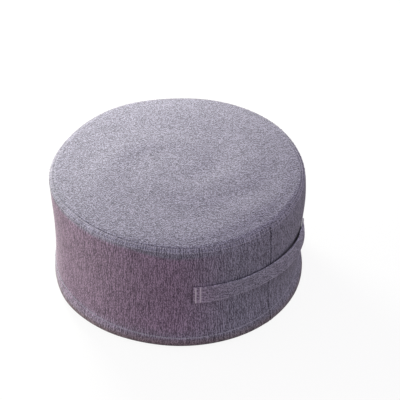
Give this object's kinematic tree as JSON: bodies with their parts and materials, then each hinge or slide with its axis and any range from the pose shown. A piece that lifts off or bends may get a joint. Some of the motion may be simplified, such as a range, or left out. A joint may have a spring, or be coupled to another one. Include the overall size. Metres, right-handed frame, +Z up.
{
  "type": "round pouf",
  "caption": "Low round floor pouf: a filled drum with a drawn-in side, slightly crowned top, flat base and a sewn side handle strap standing off for the fingers.",
  "frame": {"origin": "centre of the base panel's underside, on the floor", "axes": "+Z up through the top panel; -Y points out through the middle of the strap's finger gap"},
  "size_m": [0.4029, 0.4054, 0.2039],
  "materials": {
    "side_cloth": "flat woven melange cloth, mauve grey with upright slubs",
    "top_cloth": "flat woven melange cloth, mauve grey with fine flecks",
    "base_cloth": "the same woven cloth, plain",
    "strap_cloth": "folded strip of the same woven cloth, topstitched"
  },
  "bodies": {
    "root": {"filled_body": "side_cloth", "top_panel": "top_cloth", "bottom_panel": "base_cloth", "handle_strap": "strap_cloth"}
  },
  "joints": []
}
